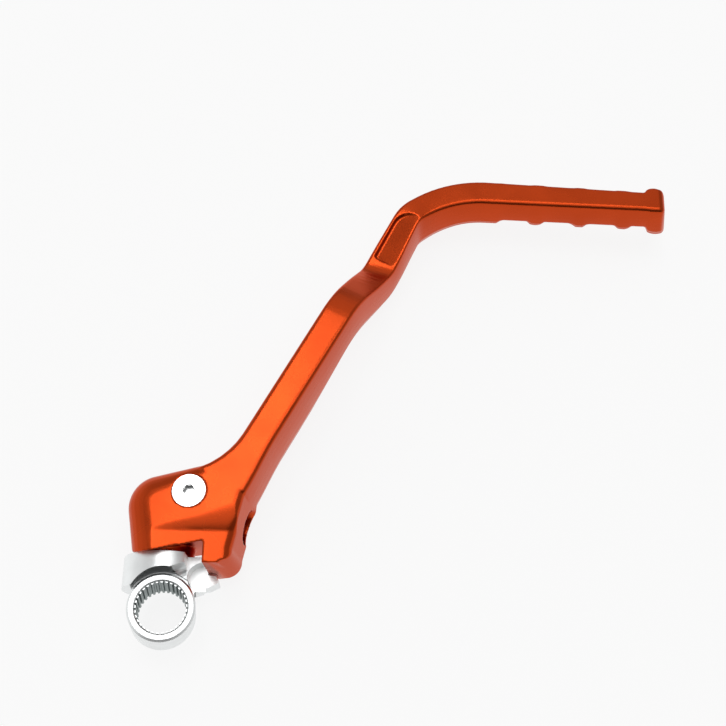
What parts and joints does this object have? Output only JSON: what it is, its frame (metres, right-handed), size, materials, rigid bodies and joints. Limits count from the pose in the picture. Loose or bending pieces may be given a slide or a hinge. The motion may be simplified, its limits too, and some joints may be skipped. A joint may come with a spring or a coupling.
{
  "type": "kick start lever",
  "caption": "Folding kick start lever: a forged orange lever with a jogged arm and ridged foot peg, which swivels on a splined steel knuckle.",
  "frame": {"origin": "on the splined hole's axis, at the knuckle's back face", "axes": "+Z along the splined hole's axis, away from the engine; +Y along the swivel post, towards the lever's head; +X completes the set, the way the folded foot peg points"},
  "size_m": [0.2347, 0.2085, 0.048],
  "materials": {
    "anodised_lever": "orange anodised, satin",
    "plated_knuckle": "bright zinc plated",
    "plated_screw": "bright zinc plated",
    "ball_steel": "polished",
    "spring_steel": "drawn wire",
    "plug_steel": "bright zinc plated",
    "seal_rubber": "matte"
  },
  "bodies": {
    "knuckle": {"knuckle": "plated_knuckle", "pivot_seal": "seal_rubber"},
    "lever": {"lever": "anodised_lever", "retaining_screw": "plated_screw", "detent_ball": "ball_steel", "detent_spring": "spring_steel", "detent_plug": "plug_steel"}
  },
  "joints": [
    {"name": "lever_swing", "type": "hinge", "parent": "knuckle", "child": "lever", "pos_m": [0, 0, 0.01], "axis": [0, -1, 0], "range_deg": [0, 82]}
  ]
}
